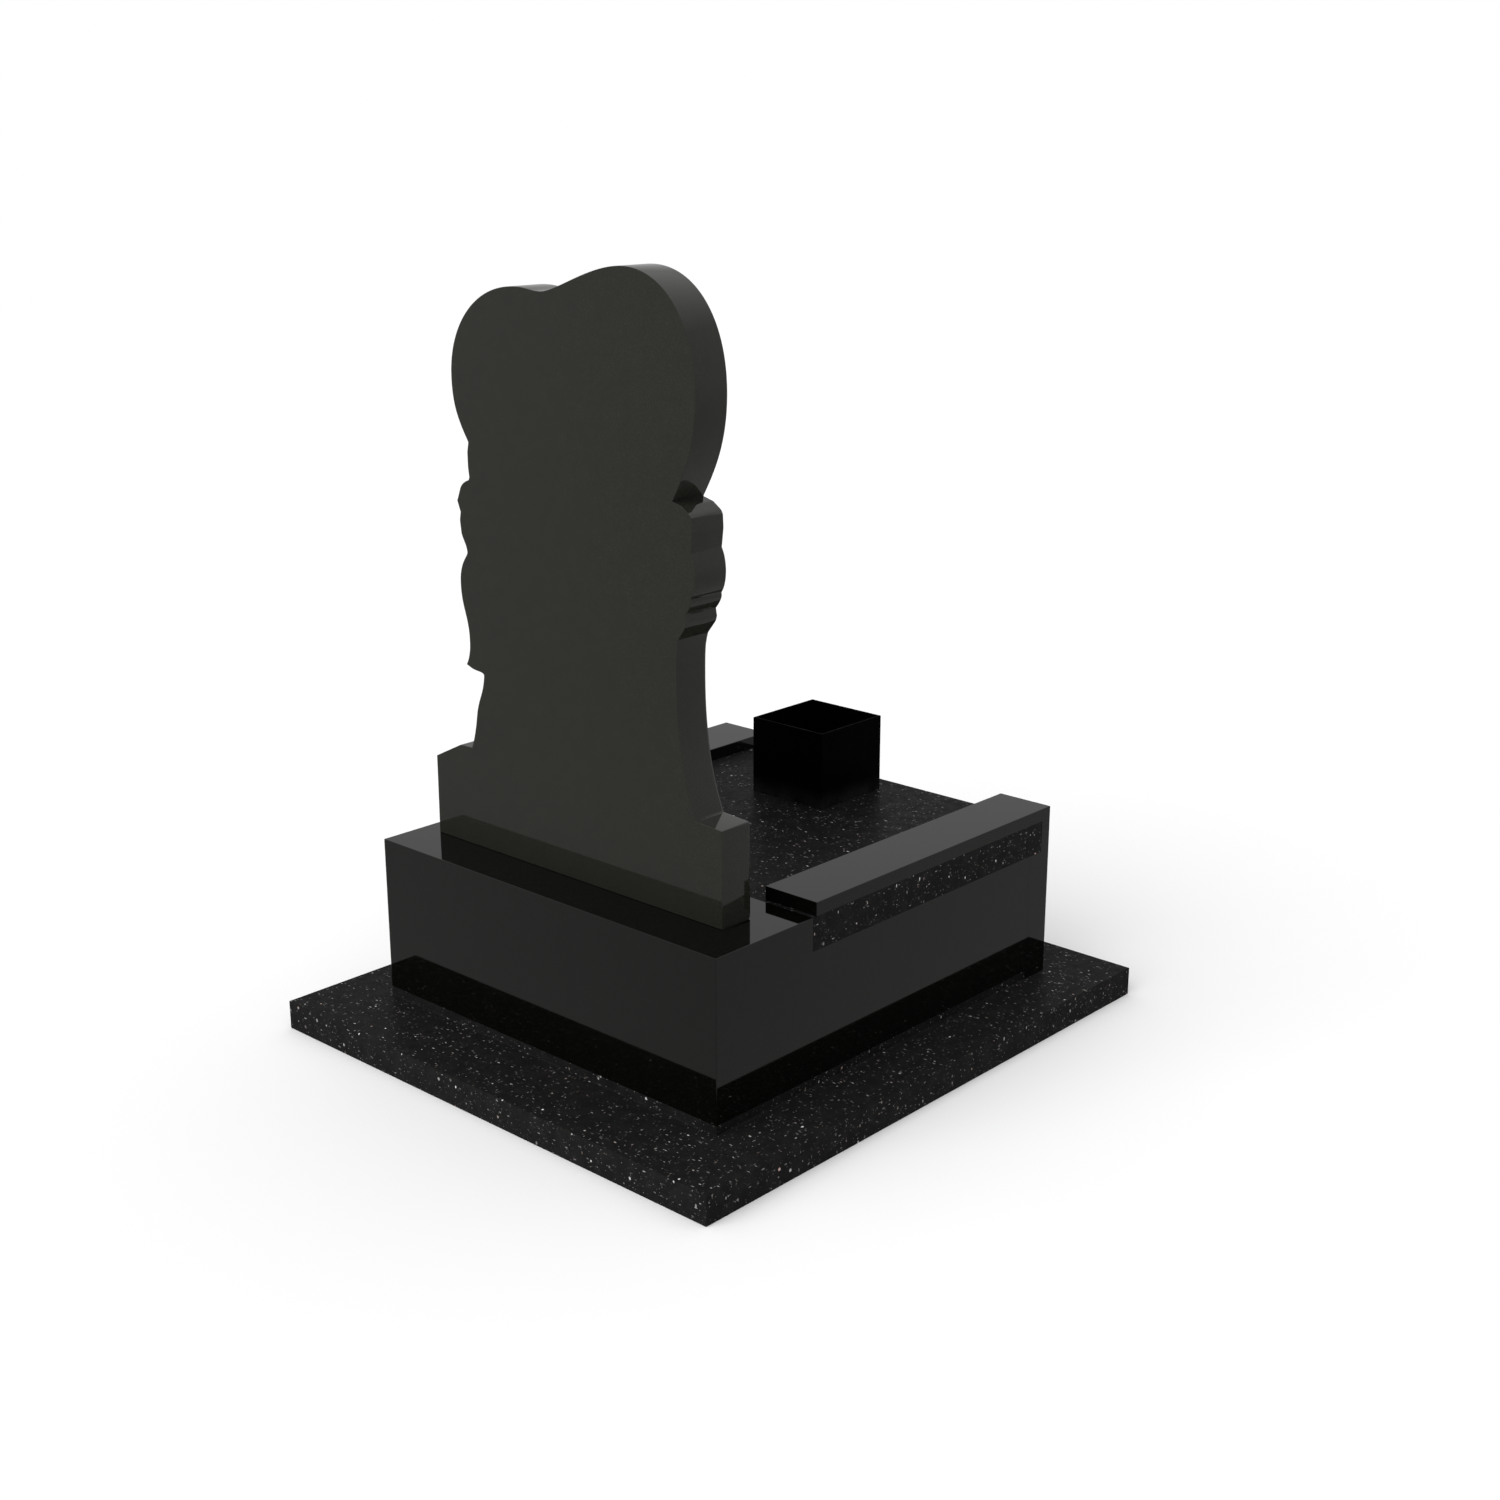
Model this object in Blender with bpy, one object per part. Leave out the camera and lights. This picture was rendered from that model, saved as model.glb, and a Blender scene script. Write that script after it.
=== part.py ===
"""Heart headstone memorial: an asymmetric heart-topped stone with carved sides,
standing on a polished black granite surround that lies on a speckled foundation slab.

Metres, +Z up.  The inscription side looks along -Y, the plain back along +Y.
Origin: middle of the foundation slab's underside.
"""
import math

import bmesh
import bpy
from mathutils import Vector

# ---------------------------------------------------------------- sizes (metres)
GAP = 0.0003            # clearance between stones that lie on each other

SLAB_W = 0.898          # foundation slab, along X
SLAB_D = 0.997          # along Y
SLAB_T = 0.046
PAD_H = 0.0146          # raised pad worked on the slab under the surround

BODY_W = 0.700          # outer width of the surround
BODY_BACK = 0.3733      # rear face of the surround (Y)
BODY_FRONT = -0.3970    # front face of the surround (Y)
PLINTH_TOP = 0.3049     # top of the rear beam above the ground (Z)
BEAM_FRONT = 0.1770     # front face of the rear beam, where the cover slab starts
WALL_T = 0.096          # side walls and kerbs
PANEL_T = 0.0514        # front panel
LIP_T = 0.0215          # lip of the front panel, in front of the cover slab
LIP_DROP = 0.0103       # how far that lip stays below the cover slab's top

COVER_T = 0.0502        # cover slab
KERB_RISE = 0.0207      # kerb bars on the cover slab
KERB_BACK = 0.1694      # their rear ends (Y)

STONE_BACK = 0.2949     # headstone's rear face (Y)
STONE_T = 0.0614        # its thickness
HEART_RISE = 0.0040     # raised heart field on the front
ROSE_RISE = 0.0100      # carved roses
LEAF_RISE = 0.0060      # carved leaves

BOX_W = 0.1478          # flower box, square
BOX_H = 0.1258
BOX_WALL = 0.0040       # thin coated sheet
BOX_X = 0.0171          # its centre
BOX_Y = -0.2583

# headstone outline, millimetres: x from the centre line, z above the plinth
FOOT_L, FOOT_R = -288.5, 311.0
DIP = (45.0, 833.5)                 # notch between the two lobes
LOBE_L = dict(top=(-115.0, 874.0), side=(-245.0, 717.0), neck=(-201.5, 577.5))
LOBE_R = dict(top=(94.0, 837.5), side=(237.5, 706.0), neck=(206.0, 614.5))
HEART_TIP = (4.0, 398.0)            # lower point of the raised heart field
HEART_MARGIN = 24.0


# ---------------------------------------------------------------- curves
def cubic(p0, h0, h1, p1, n):
    """Points of a cubic curve after p0; h0 and h1 are the handles' offsets."""
    a = (p0[0] + h0[0], p0[1] + h0[1])
    b = (p1[0] + h1[0], p1[1] + h1[1])
    out = []
    for i in range(1, n + 1):
        t = i / n
        w = ((1 - t) ** 3, 3 * (1 - t) ** 2 * t, 3 * (1 - t) * t * t, t ** 3)
        out.append(tuple(w[0] * p0[k] + w[1] * a[k] + w[2] * b[k] + w[3] * p1[k] for k in (0, 1)))
    return out


def stone_outline():
    """Outline of the headstone from the -X foot, over the heart, to the +X foot."""
    o = [(FOOT_L, 0.0)]

    def line(*pts):
        o.extend(pts)

    def curve(h0, h1, p, n):
        o.extend(cubic(o[-1], h0, h1, p, n))

    # -X side: shoulder, hollow flank, leaf tips, leaf, petal
    line((FOOT_L, 142.0), (-239.0, 145.0))
    curve((10, 24), (0, -110), (-206.0, 330.0), 12)
    curve((0, 24), (4, -20), (-210.0, 393.0), 4)
    line((-223.0, 411.5), (-225.0, 418.0), (-223.0, 428.5))
    curve((-3, 4), (-3, -8), (-233.5, 451.5), 3)
    curve((-11, 14), (-10, -16), (-234.3, 513.0), 8)
    curve((-1, 8), (1, -10), (-237.5, 540.0), 3)
    line((-236.5, 560.0), (-231.5, 564.5), (-219.0, 573.0), LOBE_L["neck"])
    # heart
    curve((-20, 34), (0, -66), LOBE_L["side"], 14)
    curve((0, 96), (-74, 0), LOBE_L["top"], 16)
    curve((60, 0), (-30, 0), DIP, 14)
    curve((20, 0), (-24, 0), LOBE_R["top"], 6)
    curve((84, 0), (0, 74), LOBE_R["side"], 16)
    curve((0, -40), (22, 32), LOBE_R["neck"], 8)
    # +X side: petals, long leaf with its tip, flank, sloping shoulder
    line((209.0, 600.0), (208.8, 578.0), (206.8, 564.0), (209.0, 559.5))
    curve((6, -2), (-4, 8), (228.0, 546.0), 3)
    curve((2, -4), (-3, 6), (236.0, 527.0), 3)
    line((229.5, 511.0), (231.8, 499.0), (229.5, 480.0))
    curve((-2, -8), (0, 10), (218.0, 452.5), 5)
    curve((2, -8), (0, 30), (236.0, 406.0), 6)
    curve((0, -40), (0, 40), (220.5, 318.0), 10)
    curve((0, -18), (-4, 6), (230.0, 282.5), 4)
    line((217.0, 278.0))
    curve((-14, -3), (-2, 8), (191.5, 270.0), 3)
    curve((4, -30), (-5, 30), (211.5, 205.0), 6)
    curve((3, -20), (-5, 12), (225.5, 154.0), 5)
    line((252.5, 153.0), (310.0, 124.5), (FOOT_R, 0.0))
    return o


def heart_field(m):
    """Raised heart on the front: the lobes moved in by m, closed to a point below."""
    top_l = (LOBE_L["top"][0], LOBE_L["top"][1] - m)
    side_l = (LOBE_L["side"][0] + m, LOBE_L["side"][1] - 0.1 * m)
    top_r = (LOBE_R["top"][0], LOBE_R["top"][1] - m)
    side_r = (LOBE_R["side"][0] - m, LOBE_R["side"][1] - 0.1 * m)
    dip = (DIP[0] - 6.0, DIP[1] - 1.9 * m)
    o = [HEART_TIP]
    o += cubic(o[-1], (-26, 66), (0, -120), side_l, 16)
    o += cubic(o[-1], (0, 84), (-66, 0), top_l, 14)
    o += cubic(o[-1], (62, 0), (-26, 6), dip, 12)
    o += cubic(o[-1], (14, 14), (-30, 0), top_r, 8)
    o += cubic(o[-1], (70, 0), (0, 64), side_r, 14)
    o += cubic(o[-1], (0, -110), (24, 62), HEART_TIP, 16)
    return o[:-1]


def petal_ring(cx, cz, r, lobes, turn, wave=0.10, n=40):
    """Scalloped ring of a rose seen from the front."""
    out = []
    for i in range(n):
        a = 2 * math.pi * i / n
        rr = r * (1 - wave + wave * abs(math.cos(lobes * 0.5 * (a + turn))) * 2) / (1 + wave)
        out.append((cx + rr * math.cos(a), cz + rr * math.sin(a)))
    return out


# ---------------------------------------------------------------- solids
def clear_scene():
    for ob in list(bpy.data.objects):
        bpy.data.objects.remove(ob, do_unlink=True)


def material(name, colour, rough):
    m = bpy.data.materials.new(name)
    m.use_nodes = True
    b = m.node_tree.nodes["Principled BSDF"]
    b.inputs["Base Color"].default_value = (*colour, 1.0)
    b.inputs["Roughness"].default_value = rough
    b.inputs["Metallic"].default_value = 0.0
    return m


def finish(name, bm, mat=None):
    bmesh.ops.remove_doubles(bm, verts=bm.verts, dist=1e-6)
    bmesh.ops.recalc_face_normals(bm, faces=bm.faces)
    me = bpy.data.meshes.new(name)
    bm.to_mesh(me)
    bm.free()
    ob = bpy.data.objects.new(name, me)
    bpy.context.scene.collection.objects.link(ob)
    if mat:
        me.materials.append(mat)
    return ob


def block(bm, x0, x1, y0, y1, z0, z1):
    r = bmesh.ops.create_cube(bm, size=1.0)
    for v in r["verts"]:
        v.co = Vector((x0 if v.co.x < 0 else x1, y0 if v.co.y < 0 else y1, z0 if v.co.z < 0 else z1))


def prism_x(bm, yz, x0, x1):
    """Extrude a profile in the YZ plane from x0 to x1."""
    f = bm.faces.new([bm.verts.new((x0, y, z)) for y, z in yz])
    r = bmesh.ops.extrude_face_region(bm, geom=[f])
    bmesh.ops.translate(bm, verts=[g for g in r["geom"] if isinstance(g, bmesh.types.BMVert)],
                        vec=(x1 - x0, 0, 0))


def prism_z(bm, xy, z0, z1):
    f = bm.faces.new([bm.verts.new((x, y, z0)) for x, y in xy])
    r = bmesh.ops.extrude_face_region(bm, geom=[f])
    bmesh.ops.translate(bm, verts=[g for g in r["geom"] if isinstance(g, bmesh.types.BMVert)],
                        vec=(0, 0, z1 - z0))


def stone_point(p, y):
    return (p[0] * 0.001, y, PLINTH_TOP + GAP + p[1] * 0.001)


def plate(name, outline, y_back, y_front, bevel=0.0):
    """Plate of a front-view outline (millimetres) between two Y planes."""
    bm = bmesh.new()
    f = bm.faces.new([bm.verts.new(stone_point(p, y_back)) for p in outline])
    r = bmesh.ops.extrude_face_region(bm, geom=[f])
    vs = [g for g in r["geom"] if isinstance(g, bmesh.types.BMVert)]
    bmesh.ops.translate(bm, verts=vs, vec=(0, y_front - y_back, 0))
    if bevel:
        cx = sum(p[0] for p in outline) / len(outline) * 0.001
        cz = sum(p[1] for p in outline) / len(outline) * 0.001 + PLINTH_TOP
        for v in vs:
            d = Vector((v.co.x - cx, 0, v.co.z - cz))
            v.co -= d.normalized() * bevel
    return finish(name, bm)


def leaf(name, stem, tip, half, bend, y_back, rise, n=10):
    """Leaf with a raised midrib from stem to tip."""
    bm = bmesh.new()
    dx, dz = tip[0] - stem[0], tip[1] - stem[1]
    length = math.hypot(dx, dz)
    nx, nz = -dz / length, dx / length
    y_face = STONE_BACK - STONE_T
    rows = []
    for i in range(n + 1):
        t = i / n
        off = bend * math.sin(math.pi * t)
        c = (stem[0] + dx * t + nx * off, stem[1] + dz * t + nz * off)
        w = half * math.sin(math.pi * t ** 0.8) ** 0.85 if 0 < i < n else 0.4
        h = rise * (0.35 + 0.65 * math.sin(math.pi * min(1.0, 0.15 + 0.85 * t)))
        left = (c[0] + nx * w, c[1] + nz * w)
        right = (c[0] - nx * w, c[1] - nz * w)
        rows.append([bm.verts.new(stone_point(left, y_back)),
                     bm.verts.new(stone_point(left, y_face - 0.0006)),
                     bm.verts.new(stone_point(c, y_face - h)),
                     bm.verts.new(stone_point(right, y_face - 0.0006)),
                     bm.verts.new(stone_point(right, y_back))])
    for a, b in zip(rows, rows[1:]):
        for k in range(5):
            bm.faces.new((a[k], a[(k + 1) % 5], b[(k + 1) % 5], b[k]))
    bm.faces.new(rows[0])
    bm.faces.new(list(reversed(rows[-1])))
    return finish(name, bm)


def cutter(ob):
    ob.hide_render = True
    ob.display_type = 'WIRE'
    return ob


def boolean(ob, other, op):
    m = ob.modifiers.new(other.name, 'BOOLEAN')
    m.operation = op
    m.object = other
    m.solver = 'EXACT'
    cutter(other)


# ---------------------------------------------------------------- model
clear_scene()
polished = {k: material(k, (0.012, 0.012, 0.012), 0.06) for k in
            ("mat_plinth", "mat_panel", "mat_kerb_left", "mat_kerb_right", "mat_headstone")}
box_black = material("mat_flower_box", (0.004, 0.004, 0.004), 0.50)
speckled = {k: material(k, (0.030, 0.029, 0.028), 0.35) for k in ("mat_foundation", "mat_cover")}

half = BODY_W / 2
panel_back = BODY_FRONT + PANEL_T
pad_top = SLAB_T + PAD_H
cover_bottom = PLINTH_TOP - COVER_T
cover_front = BODY_FRONT + LIP_T
lip_top = PLINTH_TOP - LIP_DROP

# foundation slab with the pad that carries the surround
bm = bmesh.new()
block(bm, -SLAB_W / 2, SLAB_W / 2, -SLAB_D / 2, SLAB_D / 2, 0.0, SLAB_T)
slab = finish("foundation_slab", bm, speckled["mat_foundation"])
bm = bmesh.new()
block(bm, -half, half, panel_back + GAP, BODY_BACK, SLAB_T - 0.010, pad_top)
boolean(slab, finish("pad_shape", bm), 'UNION')

# plinth body: rear beam and two side walls in one piece, open under the cover slab
bm = bmesh.new()
z0 = pad_top + GAP
inner = half - WALL_T
prism_z(bm, [(-half, panel_back + GAP), (-inner, panel_back + GAP), (-inner, BEAM_FRONT),
             (inner, BEAM_FRONT), (inner, panel_back + GAP), (half, panel_back + GAP),
             (half, BODY_BACK), (-half, BODY_BACK)], z0, PLINTH_TOP)
plinth = finish("plinth_body", bm, polished["mat_plinth"])
bm = bmesh.new()     # seat of the cover slab on the side walls
block(bm, -half - 0.01, half + 0.01, panel_back - 0.02, BEAM_FRONT, cover_bottom - GAP, PLINTH_TOP + 0.01)
boolean(plinth, finish("cover_seat", bm), 'DIFFERENCE')

# front panel with its lip
bm = bmesh.new()
prism_x(bm, [(BODY_FRONT, SLAB_T + GAP), (panel_back, SLAB_T + GAP), (panel_back, cover_bottom - GAP),
             (cover_front - GAP, cover_bottom - GAP), (cover_front - GAP, lip_top), (BODY_FRONT, lip_top)],
        -half, half)
finish("front_panel", bm, polished["mat_panel"])

# cover slab
bm = bmesh.new()
block(bm, -half, half, cover_front, BEAM_FRONT - GAP, cover_bottom, PLINTH_TOP)
finish("cover_slab", bm, speckled["mat_cover"])

# kerb bars: they lie on the cover slab and turn down over the lip
for name, side in (("kerb_left", -1), ("kerb_right", 1)):
    bm = bmesh.new()
    x_out, x_in = side * half, side * (half - WALL_T)
    prism_x(bm, [(BODY_FRONT, lip_top + GAP), (cover_front - GAP, lip_top + GAP),
                 (cover_front - GAP, PLINTH_TOP + GAP), (KERB_BACK, PLINTH_TOP + GAP),
                 (KERB_BACK, PLINTH_TOP + KERB_RISE), (BODY_FRONT, PLINTH_TOP + KERB_RISE)],
            min(x_out, x_in), max(x_out, x_in))
    finish(name, bm, polished["mat_" + name])

# headstone
stone_front = STONE_BACK - STONE_T
stone = plate("headstone", stone_outline(), STONE_BACK, stone_front)
stone.data.materials.append(polished["mat_headstone"])
sink = stone_front + 0.004
boolean(stone, plate("heart_field", heart_field(HEART_MARGIN), sink, stone_front - HEART_RISE, 0.0015), 'UNION')
for tag, cx, cz, r, turn in (("a", 193.0, 531.0, 31.0, 0.2), ("b", -195.0, 519.0, 34.0, 0.9)):
    steps = ((1.00, 5, 0.45), (0.72, 5, 0.72), (0.42, 4, 1.00))
    for k, (scale, lobes, h) in enumerate(steps):
        ring = petal_ring(cx, cz, r * scale, lobes, turn + 0.5 * k)
        boolean(stone, plate("rose_%s%d" % (tag, k), ring, sink + 0.0007 * k,
                             stone_front - ROSE_RISE * h, 0.0012), 'UNION')
for tag, stem, tip, half_w, bend in (
        ("a", (192.0, 494.0), (212.0, 336.0), 16.0, -8.0),
        ("b", (186.0, 420.0), (226.5, 285.5), 9.0, -6.0),
        ("c", (-192.0, 480.0), (-219.0, 421.0), 11.0, 4.0),
        ("d", (-176.0, 476.0), (-150.0, 380.0), 15.0, -8.0),
        ("e", (170.0, 500.0), (120.0, 425.0), 14.0, 7.0)):
    boolean(stone, leaf("leaf_" + tag, stem, tip, half_w, bend, sink + 0.002, LEAF_RISE), 'UNION')

# flower box, open above
bm = bmesh.new()
hb = BOX_W / 2
block(bm, BOX_X - hb, BOX_X + hb, BOX_Y - hb, BOX_Y + hb, PLINTH_TOP + GAP, PLINTH_TOP + GAP + BOX_H)
fbox = finish("flower_box", bm, box_black)
bm = bmesh.new()
hi = hb - BOX_WALL
block(bm, BOX_X - hi, BOX_X + hi, BOX_Y - hi, BOX_Y + hi, PLINTH_TOP + GAP + BOX_WALL, PLINTH_TOP + BOX_H + 0.05)
boolean(fbox, finish("box_hollow", bm), 'DIFFERENCE')
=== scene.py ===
"""Heart headstone memorial, the looks.

Polished black granite pieces with eased arrises, two speckled granite slabs and a
headstone whose hidden front carries a low carving of roses and leaves round a raised heart.
Everything is in metres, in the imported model's frame.
"""

import math

import bmesh
import bpy
import numpy as np
from mathutils import Matrix, Vector
from mathutils.geometry import delaunay_2d_cdt


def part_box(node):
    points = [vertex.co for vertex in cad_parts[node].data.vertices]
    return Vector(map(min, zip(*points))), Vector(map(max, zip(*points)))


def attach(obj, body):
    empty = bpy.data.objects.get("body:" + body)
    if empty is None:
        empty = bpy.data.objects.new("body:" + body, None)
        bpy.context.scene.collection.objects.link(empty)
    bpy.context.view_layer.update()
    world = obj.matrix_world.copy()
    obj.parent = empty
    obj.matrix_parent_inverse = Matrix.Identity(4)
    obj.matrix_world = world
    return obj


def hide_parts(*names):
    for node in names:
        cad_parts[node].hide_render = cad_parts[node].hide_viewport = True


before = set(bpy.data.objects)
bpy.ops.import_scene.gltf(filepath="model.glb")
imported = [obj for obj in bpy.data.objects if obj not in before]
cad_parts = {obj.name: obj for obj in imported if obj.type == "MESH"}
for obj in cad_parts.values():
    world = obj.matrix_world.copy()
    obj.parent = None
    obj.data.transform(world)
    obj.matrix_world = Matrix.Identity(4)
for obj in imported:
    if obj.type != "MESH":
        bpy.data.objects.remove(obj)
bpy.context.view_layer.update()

# ---------------------------------------------------------------- sizes shared with the solids
PLINTH_TOP = 0.3049
GAP = 0.0003
stone_lo, stone_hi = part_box("headstone")
STONE_BACK = stone_hi.y
STONE_T = 0.0614
STONE_FRONT = STONE_BACK - STONE_T
STONE_FOOT = stone_lo.z

ARRIS_LOW = 8.5                 # rounding of the front arris on the flanks and shoulders, mm
ARRIS_TOP = 2.6                 # and round the heart, the petals and the leaves
BACK_ARRIS = 0.45               # its back arris is all but sharp, mm
CARVE_MAX = 9.3                 # highest carving above the front plane, mm

FOOT_L, FOOT_R = -288.5, 311.0
DIP = (45.0, 833.5)
LOBE_L = dict(top=(-115.0, 874.0), side=(-245.0, 717.0), neck=(-201.5, 577.5))
LOBE_R = dict(top=(94.0, 837.5), side=(237.5, 706.0), neck=(206.0, 614.5))
HEART_TIP = (4.0, 398.0)
HEART_MARGIN = 24.0


# ---------------------------------------------------------------- curves, as in the solids
def cubic(p0, h0, h1, p1, n):
    a = (p0[0] + h0[0], p0[1] + h0[1])
    b = (p1[0] + h1[0], p1[1] + h1[1])
    out = []
    for i in range(1, n + 1):
        t = i / n
        w = ((1 - t) ** 3, 3 * (1 - t) ** 2 * t, 3 * (1 - t) * t * t, t ** 3)
        out.append(tuple(w[0] * p0[k] + w[1] * a[k] + w[2] * b[k] + w[3] * p1[k] for k in (0, 1)))
    return out


def stone_outline(m=1):
    """Outline of the headstone; m multiplies the points on each curve."""
    o = [(FOOT_L, 0.0)]

    def line(*pts):
        o.extend(pts)

    def curve(h0, h1, p, n):
        o.extend(cubic(o[-1], h0, h1, p, n * m))

    line((FOOT_L, 142.0), (-239.0, 145.0))
    curve((10, 24), (0, -110), (-206.0, 330.0), 12)
    curve((0, 24), (4, -20), (-210.0, 393.0), 4)
    line((-223.0, 411.5), (-225.0, 418.0), (-223.0, 428.5))
    curve((-3, 4), (-3, -8), (-233.5, 451.5), 3)
    curve((-11, 14), (-10, -16), (-234.3, 513.0), 8)
    curve((-1, 8), (1, -10), (-237.5, 540.0), 3)
    line((-236.5, 560.0), (-231.5, 564.5), (-219.0, 573.0), LOBE_L["neck"])
    curve((-20, 34), (0, -66), LOBE_L["side"], 14)
    curve((0, 96), (-74, 0), LOBE_L["top"], 16)
    curve((60, 0), (-30, 0), DIP, 14)
    curve((20, 0), (-24, 0), LOBE_R["top"], 6)
    curve((84, 0), (0, 74), LOBE_R["side"], 16)
    curve((0, -40), (22, 32), LOBE_R["neck"], 8)
    line((209.0, 600.0), (208.8, 578.0), (206.8, 564.0), (209.0, 559.5))
    curve((6, -2), (-4, 8), (228.0, 546.0), 3)
    curve((2, -4), (-3, 6), (236.0, 527.0), 3)
    line((229.5, 511.0), (231.8, 499.0), (229.5, 480.0))
    curve((-2, -8), (0, 10), (218.0, 452.5), 5)
    curve((2, -8), (0, 30), (236.0, 406.0), 6)
    curve((0, -40), (0, 40), (220.5, 318.0), 10)
    curve((0, -18), (-4, 6), (230.0, 282.5), 4)
    line((217.0, 278.0))
    curve((-14, -3), (-2, 8), (191.5, 270.0), 3)
    curve((4, -30), (-5, 30), (211.5, 205.0), 6)
    curve((3, -20), (-5, 12), (225.5, 154.0), 5)
    line((252.5, 153.0), (310.0, 124.5), (FOOT_R, 0.0))
    return o


def heart_field(m, k=1):
    top_l = (LOBE_L["top"][0], LOBE_L["top"][1] - m)
    side_l = (LOBE_L["side"][0] + m, LOBE_L["side"][1] - 0.1 * m)
    top_r = (LOBE_R["top"][0], LOBE_R["top"][1] - m)
    side_r = (LOBE_R["side"][0] - m, LOBE_R["side"][1] - 0.1 * m)
    dip = (DIP[0] - 6.0, DIP[1] - 1.9 * m)
    o = [HEART_TIP]
    o += cubic(o[-1], (-26, 66), (0, -120), side_l, 16 * k)
    o += cubic(o[-1], (0, 84), (-66, 0), top_l, 14 * k)
    o += cubic(o[-1], (62, 0), (-26, 6), dip, 12 * k)
    o += cubic(o[-1], (14, 14), (-30, 0), top_r, 8 * k)
    o += cubic(o[-1], (70, 0), (0, 64), side_r, 14 * k)
    o += cubic(o[-1], (0, -110), (24, 62), HEART_TIP, 16 * k)
    return o[:-1]


def resample(poly, step, keep_deg=14.0):
    """Points every step or so along a closed polygon; real corners are kept."""
    P = np.array(poly, float)
    n = len(P)
    d0 = P - np.roll(P, 1, 0)
    d1 = np.roll(P, -1, 0) - P
    ang = np.degrees(np.abs(np.arctan2(d0[:, 0] * d1[:, 1] - d0[:, 1] * d1[:, 0], (d0 * d1).sum(1))))
    out = []
    for i in range(n):
        a, b = P[i], P[(i + 1) % n]
        L = np.linalg.norm(b - a)
        k = max(1, int(round(L / step)))
        for j in range(k):
            out.append(a + (b - a) * j / k)
    return np.array(out), P[ang > keep_deg]


# ---------------------------------------------------------------- distance helpers (mm, in the front view)
def seg_distance(Q, poly):
    """Distance of points Q to a closed polygon's outline."""
    A = np.asarray(poly, float)
    B = np.roll(A, -1, 0)
    best = np.full(len(Q), 1e9)
    for a, b in zip(A, B):
        ab = b - a
        L2 = max(float(ab @ ab), 1e-12)
        t = np.clip(((Q - a) @ ab) / L2, 0, 1)
        d = Q - (a + t[:, None] * ab)
        best = np.minimum(best, np.einsum("ij,ij->i", d, d))
    return np.sqrt(best)


def inside(Q, poly):
    A = np.asarray(poly, float)
    B = np.roll(A, -1, 0)
    c = np.zeros(len(Q), bool)
    for (x0, y0), (x1, y1) in zip(A, B):
        if y0 == y1:
            continue
        m = ((y0 > Q[:, 1]) != (y1 > Q[:, 1])) & (Q[:, 0] < (x1 - x0) * (Q[:, 1] - y0) / (y1 - y0) + x0)
        c ^= m
    return c


def smooth(t):
    t = np.clip(t, 0.0, 1.0)
    return t * t * (3 - 2 * t)


def arris_radius(z):
    """Rounding of the front arris at a height above the plinth."""
    return ARRIS_TOP + (ARRIS_LOW - ARRIS_TOP) * (1 - smooth((np.asarray(z, float) - 372.0) / 40.0))


def dome(t, p=0.5):
    """1 in the middle, falling to 0 at t = 1, with a full round edge."""
    return np.clip(1 - np.clip(t, 0, 1) ** 2, 0, 1) ** p


# ---------------------------------------------------------------- carving on the front, heights in mm
def petal_rim(u, outer, k):
    """Reach of petal k of a ring, u being the place across it from -1 to 1."""
    return outer * (1 - 0.17 * np.abs(u) ** 2.6 - 0.035 * np.cos(u * 4.2 + k))


def rose_rim(phi, turn, n=5):
    """Reach of the outermost ring in each direction."""
    best = np.zeros(len(phi))
    for k in range(n):
        u = np.angle(np.exp(1j * (phi - turn - 2 * math.pi * k / n))) / (math.pi / n * 1.24)
        best = np.maximum(best, np.where(np.abs(u) < 1, petal_rim(u, 1.0, k), 0.0))
    return best


def rose_height(Q, cx, cz, r, turn):
    """Open rose: rings of overlapping petals with rolled lips round a wound bud."""
    x, z = (Q[:, 0] - cx) / r, (Q[:, 1] - cz) / r
    rho, phi = np.hypot(x, z), np.arctan2(z, x)
    h = np.zeros(len(Q))
    # outer reach, petals, turn, height of the lip, depth of the cup behind it
    rings = ((1.00, 5, 0.00, 5.2, 3.0), (0.79, 5, 0.63, 6.9, 3.3), (0.59, 4, 0.25, 8.2, 3.2), (0.41, 3, 0.90, 9.0, 3.0))
    for outer, n, off, top, cup in rings:
        for k in range(n):
            c = turn + off + 2 * math.pi * k / n
            u = np.angle(np.exp(1j * (phi - c))) / (math.pi / n * 1.24)
            rim = petal_rim(u, outer, k)
            rad = rho / np.maximum(rim, 1e-3)
            m = (np.abs(u) < 1) & (rad < 1)
            # the lip is a round roll just inside the rim; behind it the petal dips to its root
            lip = dome(np.abs(rad - 0.90) / 0.10, 0.5)
            body = top - cup * smooth((0.86 - rad) / 0.30) * (1 - 0.25 * u ** 2)
            body = np.where(rad > 0.90, (top - 2.4) + 2.4 * lip, body)
            # one side of each petal tucks under its neighbour
            body = body - 1.3 * smooth((u - 0.35) / 0.65)
            h = np.where(m, np.maximum(h * (rad > 0.55), body), h)
    # wound bud in the middle
    wind = np.mod(rho / 0.095 - phi / (2 * math.pi), 1.0)
    bud = 9.3 - 2.6 * np.exp(-((wind - 0.5) / 0.16) ** 2)
    return np.where(rho < 0.27, bud * (0.86 + 0.14 * dome(rho / 0.27, 0.5)), h)


def leaf_frame(Q, stem, tip, bend):
    """Position of each point along (0..1) and across (mm) a bent leaf."""
    d = np.array(tip, float) - np.array(stem, float)
    L = float(np.hypot(*d))
    e = d / L
    n = np.array((-e[1], e[0]))
    rel = Q - np.array(stem, float)
    t = rel @ e / L
    s = rel @ n - bend * np.sin(math.pi * np.clip(t, 0, 1))
    return t, s, L


def leaf_width(t, half):
    """Half width of a leaf at a place along it."""
    return half * np.sin(math.pi * np.clip(t, 1e-4, 1 - 1e-4) ** 0.8) ** 0.85


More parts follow.
